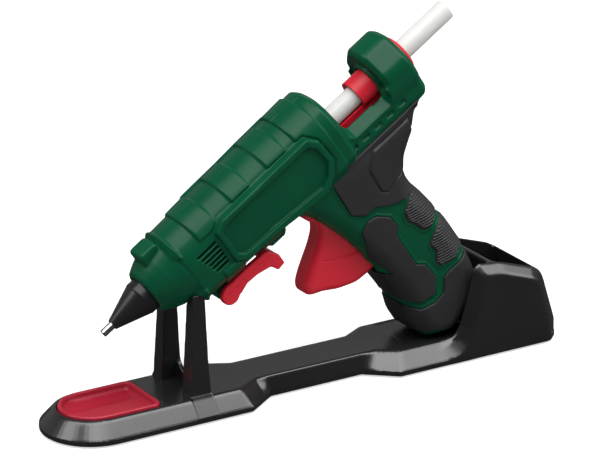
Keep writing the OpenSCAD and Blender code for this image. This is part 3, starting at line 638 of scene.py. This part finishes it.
# %% [markdown]
# ## Trigger
# Red glass-filled nylon. A thick curved blade turns on a pin through its top, and a short arm with a
# moulded drive pin pushes the feed carriage. It could be a bevelled extrusion; as a distance, the blade can
# have rims rounded by 4 mm, a bump line across its cheek and a fork for the return spring in one shape.

# %% Trigger blade and arm
TRIGGER = [(118.5, -31), (122.6, -36.5), (122.2, -40.5), (119.6, -45), (114, -49.6), (108.4, -53.2),
           (102.6, -57), (97.6, -61), (95.2, -64.2), (95.6, -67.2), (98.6, -69.4), (102.8, -71.2),
           (110.9, -77.4), (120.9, -82.4), (131, -83.4), (142.3, -80.4), (130, -29)]
step = 0.5
low, high = (92.0, -9.0, -86.0), (145.0, 9.0, -8.0)
s, y, t = lattice(low, high, step)
y = np.abs(y)
flat = soften(outline(TRIGGER, s, t), 1.8, step)
BUMP = [(60, -48), (111, -54.4), (114.6, -58.8), (123.5, -64), (132, -67.7), (160, -74), (160, -100),
        (60, -100)]
lower = outline(BUMP, s, t)
line = 0.5 * np.exp(-(lower / 0.5) ** 2) * ramp(-flat, 3, 6)
blade = slabbed(flat, y + line, 7.5, 4.2)
pin = np.sqrt((s - PIVOT[0]) ** 2 + (t - PIVOT[1]) ** 2)
push = np.sqrt((s - DRIVE[0]) ** 2 + (t - DRIVE[1]) ** 2)
arm = slabbed(outline([(118.4, -30), (130, -30), (131, -14), (124.6, -14)], s, t), y, 7.4, 0.8)
drive = slabbed(push - 3.2, y, 7.4, 0.6)
blade = join(join(blade, slabbed(pin - 6, y, 7.4, 0.6), 1), join(arm, drive, 0.5), 1)
print("blade 15 mm thick")

# %% Fork, bore and drive pin
gap = meet(outline([(100, -22), (140, -22), (140, 0), (100, 0)], s, t), y - 4.3, 0)
blade = cut(cut(cut(blade, gap, 0.3), pin - 2.1, 0), meet(pin - 5.2, y - 4.3, 0), 0.3)
blade = cut(blade, meet(outline([(124, -35.2), (150, -38), (150, -20), (124, -20)], s, t), y - 4.3, 0), 0.3)
blade = join(blade, slabbed(push - 2, y, 4.8, 0.1), 0.2)
piece("trigger_blade", skin(blade, low, step), "trigger", "red_pa", ["trigger"])

# %% [markdown]
# ## Kickstand
# The prop folds down from under the nose: two slim arms 24 mm apart, joined by a hooked foot. Bent wire
# would be the other way to make one, but this one is moulded, with a faint ridge along each arm, so it is
# one outline carried across twice, and a bar.

# %% Kickstand
KICK = [(61.5, -22.7), (75, -22.2), (87.5, -22.8), (91.2, -24.4), (94.2, -30), (94.2, -36), (89.4, -36.6),
        (87.2, -32.2), (79, -30), (72, -29.6), (66.8, -31.6)]
step = 0.42
low, high = (54.5, -15.5, -38.5), (96.5, 15.5, -20.5)
s, y, t = lattice(low, high, step)
y = np.abs(y)
flat = join(outline(KICK, s, t), np.sqrt((s - PROP[0]) ** 2 + (t - PROP[1]) ** 2) - 5.3, 2.0)
flat = soften(flat, 0.7, step)
ridge = 0.35 * ramp(np.abs(t + 27 - 0.02 * (s - 75)), 0.0, 1.5)
arms = slabbed(flat, np.abs(y - 11.9) + ridge, 2.1, 1.0)
HOOK = [(88.2, -30.4), (91.4, -26.6), (94.2, -30), (94.2, -36), (89.4, -36.6)]
bar = slabbed(outline(HOOK, s, t), y, 13.8, 0.9)
frame_arm = join(arms, bar, 0.8)
piece("kickstand_frame", skin(frame_arm, low, step), "kickstand", "red_pa", ["kickstand"])

# %% [markdown]
# ## Stand
# One hollow black moulding: a low waisted plinth with sloped flanks, two posts that hold the nose, and a
# caddy at the back with a bay for the heel and an open bin. The flanks could be a bevel of the top
# face, but they change width through the waist. They are worked out as a mix of two outlines, one at
# the lip and one at the top, so that the flank turns smoothly round the front and through the waist.

# %% Outlines of the stand
def plan(r, xa, xb, xc, xd, w, q, xe):
    """Outline of the plinth at one height. Its front is the arc x = -120.8 - r cos(turn), y = r sin(turn);
    straight runs then lead through a waist w wide to each side and a rear lobe q wide. y is mirrored."""
    turn = np.linspace(0, math.pi / 2, 15)
    side = np.concatenate([np.stack([-120.8 - r * np.cos(turn), r * np.sin(turn)], 1),
                           [(xa, r), (xb, w), (xc, w), (xd, q), (84, q), (95, q - 3), (xe - 4, q - 3),
                            (xe, q - 7)]])
    return np.concatenate([side, side[:0:-1] * (1, -1)])

LIP_Z, TOP_Z, POST_Z = 3.8, 12, 66.6
LIP = plan(27.2, -42.6, -25, 30, 46, 15, 28.2, 145)
TOP = plan(19.9, -46.4, -33, 40.2, 51, 12.8, 20.0, 138)
CADDY = [(74, -6), (74, 6), (79, 9.5), (83.4, 14), (86.6, 19.5), (90.2, 31), (92.6, 42), (93.6, 48),
         (97, 51.6), (112, 50), (132, 43.4), (137.4, 40), (139.6, 36), (147.5, 11), (147.5, -6), (70, -6)]

turn = np.radians(np.arange(90, 271, 9))
corner = np.radians(np.arange(0, 91, 15))
DISH = np.concatenate([np.stack([-120.8 + 18 * np.cos(turn), 18 * np.sin(turn)], 1),
                       np.stack([-94.8 + 5 * np.sin(corner), -13 - 5 * np.cos(corner)], 1),
                       np.stack([-94.8 + 5 * np.cos(corner), 13 + 5 * np.sin(corner)], 1)])
print(len(LIP), "corners in the plan of the stand")

# %% Plinth
def plinth(x, y, z, less=0.0):
    """The lip's outline below LIP_Z, the top's at TOP_Z, and their mix by height between, under a flat
    top; less moves it all in, for the hollow."""
    mixed = np.clip((z - LIP_Z) / (TOP_Z - LIP_Z), 0, 1)
    edge = outline(LIP, x, y) * (1 - mixed) + outline(TOP, x, y) * mixed
    return meet(edge * 0.82 + less, z - TOP_Z + less, 1.4 if not less else 0.5)

step = 0.8
low, high = (-149.2, -29.5, -0.3), (149.4, 29.5, 53.5)
x, y, z = lattice(low, high, step)
y_abs = np.abs(y)
base = cut(plinth(x, y, z), plinth(x, y, z, 2.6), 0.5)
print("plinth on", base.size, "points")

# %% [markdown]
# ### Caddy
# Its side view is one outline. Both sides lean in a little, as a moulding must to leave its mould, and a
# chamfer of 5 mm runs up the front edge, along the top and down the back. A blend of 4 mm carries the
# plinth's flank up into it.

# %% Caddy with its bay and bin
profile = soften(outline(CADDY, x, z), 1.0, step)
lean = y_abs - 28.5 + 0.045 * z
rim = (y_abs - 26.0) * 0.75 + (profile + 5.0) * 0.66
caddy = meet(meet(profile, lean, 1.0), rim, 1.2)
bay = meet(meet(y_abs - 20.6, x - 104.6, 3), 12 - z, 0.5)
bin_plan = slabbed(np.abs(x - 122 + 0.06 * (z - 40)) - 13.4, y_abs, 20.6, 3)
bin_room = slabbed(bin_plan, np.abs(z - 47), 39.8, 1)
caddy = cut(cut(caddy, bay, 0.8), bin_room, 0.8)
under = meet(meet(profile + 2.6, y_abs - 25.6, 1), z - 5, 0)
base = join(base, cut(caddy, under, 0), 4.0)
print("bin 41 mm wide inside")

# %% Seats for the tray, the heel and the feet
dish = outline(DISH, x, y)
pocket = meet(dish - 0.35, 5.8 - z, 0)
deck = meet(meet(dish - 2.2, 3.6 - z, 0), z - 11, 0)
base = cut(join(base, deck, 0.3), pocket, 0.4)
seat = slabbed(slabbed(np.abs(x - 78.5) - 20, y_abs, 18.4, 1), np.abs(z - 14), 2.6, 0.2)
base = cut(base, meet(seat, 11.4 - z, 0), 0.3)
for fx, fy in ((-124, 0), (-54, 12.6), (64, 12.6), (134, 17)):
    foot = np.sqrt((x - fx) ** 2 + (y_abs - fy) ** 2)
    boss = meet(foot - 6.4, meet(1.2 - z, z - (6.4 if fx > 100 else 4.6 if fx < -100 else 10.6), 0), 0)
    base = cut(join(base, boss, 0.3), meet(foot - 5.05, z - 2, 0), 0)
base = meet(meet(base, y_abs - 28.3, 0.3), 0.8 - z, 0.4)
piece("stand_body", skin(base, low, step), "stand", "stand_black", ["stand_base"], of_gun=False)

# %% [markdown]
# ### Fork posts
# Two tapering posts stand on the plinth's flanks with a low web between them, and the nose lies between
# their tops. They are part of the same moulding. They need crisper edges than the plinth, so they are
# sampled on their own at 0.5 mm, and the gun's own shape is cut from them with a gap of 0.2 to 0.4 mm.

# %% Posts, feet and web
step = 0.5
low, high = (-77.5, -28.5, 0.2), (-60.0, 28.5, 71.0)
x, y, z = lattice(low, high, step)
y_abs = np.abs(y)
s_at = (x - TIP[0]) * AXES[0, 0] + (z - TIP[2]) * AXES[0, 2]
t_at = (x - TIP[0]) * AXES[2, 0] + (z - TIP[2]) * AXES[2, 2]
post = meet(outline([(-75.3, 8), (-62.5, 8), (-63.9, 28), (-65.3, 72), (-71.9, 72)], x, z),
            outline([(10.4, 8), (20.0, 8), (19.5, 14), (17.6, 72), (11.4, 72)], y_abs, z), 0.6)
FOOT = [(14, 1.4), (27.5, 1.4), (27.5, 4.0), (20.0, 12.6), (14, 12.6)]
foot = meet(np.abs(x + 68.6) - 6.3, outline(FOOT, y_abs, z), 0.8)
web = meet(meet(np.abs(x + 64.8) - 1.2, y_abs - 12, 0), meet(z - 21, 11.2 - z, 0), 0)
web = cut(web, np.sqrt(y * y + (z - 28) ** 2) - 12, 0.4)
fork = join(join(post, foot, 1.5), web, 0.4)
print("posts", POST_Z, "mm tall")

# %% Cradle for the nose
radial = np.sqrt(y * y + t_at * t_at)
nose = radial - np.interp(s_at, [29.8, 31.5, 35.5, 40.5, 48.5, 60], [12.8, 13.6, 15.6, 17.6, 19.4, 19.4])
gun_front = barrel(s_at, y_abs, t_at) + 0.8 * np.clip(51 - s_at, 0, 10) - 0.3
fork = cut(fork, join(meet(nose, 29.4 - s_at, 0), meet(gun_front, 43 - s_at, 0), 0), 0.3)
fork = meet(fork, z - POST_Z, 0.3)
piece("fork_posts", skin(fork.astype(np.float32), low, step), "stand", "stand_black", of_gun=False)

# %% [markdown]
# ## Drip tray
# Soft red silicone, pressed into its pocket: a D-shaped dish with a rolled rim that stands just proud of
# the plinth and a floor that dips in a shallow bowl. It could be a profile swept round the D; one distance
# to the D gives the rim, the wall and the floor at once, and closes the corners by itself.

# %% Drip tray
step = 0.45
low, high = (-140.2, -19.5, 5.0), (-88.2, 19.5, 14.5)
x, y, z = lattice(low, high, step)
y_abs = np.abs(y)
dish = outline(DISH, x, y) + 0.05
tray = meet(meet(dish, 6.0 - z, 0.6), z - 13.2, 1.6)
trough = np.exp(-((y - 7.0) / 2.2) ** 2) * ramp(-dish, 3, 7)
bowl_floor = 8.6 + 0.6 * ramp(dish, -9, -3) - 0.8 * trough
bowl = meet(dish + 2.2 + 0.3 * (13 - z), bowl_floor - z, 2.4)
tray = cut(tray, bowl, 1.2)
piece("tray_dish", skin(tray, low, step), "tray", "red_silicone", ["drip_tray"], of_gun=False)

# %% [markdown]
# ## Floor
# A product set has no horizon: the floor runs out to white. It could be a curved sheet under strong lamps,
# but those would wash out the tool. Here the floor is a plain pale sheet that still takes the object's
# shadow; to the camera it also glows a little, which carries it to white. In the tool's own gloss the
# floor is dark, as a real set is beyond the edge of its lamps.

# %% Which rays see the white set
def ray_kinds(tree):
    """The ray's flags, and the larger of two of them: 1 for what the camera sees, also through clear
    parts, and 0 for every other ray."""
    path = add(tree, "LightPath")
    return path, add(tree, "Math", None, {0: (path, "Is Camera Ray"), 1: (path, "Is Transmission Ray")},
                     operation="MAXIMUM")

floor_mat, tree = blank("pale studio paper")
path, clear = ray_kinds(tree)
print("floor finish", floor_mat.name)

# %% Floor
paper = add(tree, "BsdfDiffuse", {"Color": linear("#bcbcbc")})
far = add(tree, "BsdfDiffuse", {"Color": linear("#3a3a3a")})
ground = add(tree, "MixShader", None, {0: (path, "Is Glossy Ray"), 1: (paper, "BSDF"), 2: (far, "BSDF")})
glow = add(tree, "Emission", {"Color": (1, 1, 1, 1), "Strength": 0.62})
dark = add(tree, "Emission", {"Color": (0, 0, 0, 1), "Strength": 0.0})
extra = add(tree, "MixShader", None, {0: (clear, "Value"), 1: (dark, "Emission"), 2: (glow, "Emission")})
both = add(tree, "AddShader", None, {0: (ground, "Shader"), 1: (extra, "Shader")})
add(tree, "OutputMaterial", None, {"Surface": (both, "Shader")})

floor = bpy.data.objects.new("floor", bpy.data.meshes.new("floor"))
floor.data.from_pydata([(-6, -6, 0), (6, -6, 0), (6, 6, 0), (-6, 6, 0)], [], [(0, 1, 2, 3)])
floor.data.materials.append(floor_mat)
bpy.context.collection.objects.link(floor)
print("floor 12 m square")

# %% [markdown]
# ## World
# The world is white to the camera and a soft grey fill to matt surfaces. Glossy surfaces see a dim band
# instead, brighter behind than in front: black plastic needs something dark to mirror, or it turns grey.

# %% World
world = bpy.data.worlds.new("studio")
bpy.context.scene.world = world
world.use_nodes = True
tree = world.node_tree
tree.nodes.clear()
path, clear = ray_kinds(tree)
place = add(tree, "TexCoord")
height = add(tree, "SeparateXYZ", None, {"Vector": (place, "Generated")})
band = add(tree, "MapRange", {"From Min": 0.30, "From Max": 0.75, "To Min": 0.3, "To Max": 0.1},
           {"Value": (height, "Z")}, interpolation_type="SMOOTHSTEP")
behind = add(tree, "MapRange", {"From Min": -0.3, "From Max": 0.35, "To Min": 0.1, "To Max": 1.0},
             {"Value": (height, "Y")}, interpolation_type="SMOOTHSTEP")
screen = add(tree, "Math", None, {0: (band, "Result"), 1: (behind, "Result")}, operation="MULTIPLY")
fill = add(tree, "Background", {"Color": (1, 1, 1, 1), "Strength": 0.3})
mirrored = add(tree, "Background", {"Color": (1, 1, 1, 1)}, {"Strength": (screen, "Value")})
white = add(tree, "Background", {"Color": (1, 1, 1, 1), "Strength": 1.0})
some = add(tree, "MixShader", None, {0: (path, "Is Glossy Ray"), 1: (fill, "Background"),
                                     2: (mirrored, "Background")})
mix = add(tree, "MixShader", None, {0: (clear, "Value"), 1: (some, "Shader"), 2: (white, "Background")})
add(tree, "OutputWorld", None, {"Surface": (mix, "Shader")})
print("world fill", fill.inputs["Strength"].default_value)

# %% [markdown]
# ## Lamps
# A lamp's size sets how soft its highlight is, and its place sets which slopes mirror it. A wide one
# overhead in front lights every surface that faces up and lays the long grey band along the stand's
# flank. One at the upper left carries that band round the front, and one on the right lights the caddy's
# chamfer. The sides of the gun mirror the dark floor, which keeps their green deep.

# %% Lamps
def soft_lamp(name, at, aim, wide, deep, watts):
    """A soft lamp wide by deep metres at a point, turned towards its aim."""
    data = bpy.data.lights.new(name, "AREA")
    data.shape, data.size, data.size_y, data.energy = "RECTANGLE", wide, deep, watts
    lamp = bpy.data.objects.new(name, data)
    lamp.location = at
    lamp.rotation_euler = look(Vector(aim) - Vector(at))
    bpy.context.collection.objects.link(lamp)

AIM = (0, 0, 0.05)
soft_lamp("overhead", (0.1, -0.5, 1.5), AIM, 1.9, 1.1, 34)
soft_lamp("right", (1.35, -0.8, 0.95), AIM, 0.8, 0.9, 9)
soft_lamp("left", (-1.15, 0.2, 1.35), AIM, 0.8, 1.3, 14)
print("three lamps aimed at", AIM)

# %% [markdown]
# ## Last update
# The view layer is updated once more.

# %% Last update
bpy.context.view_layer.update()
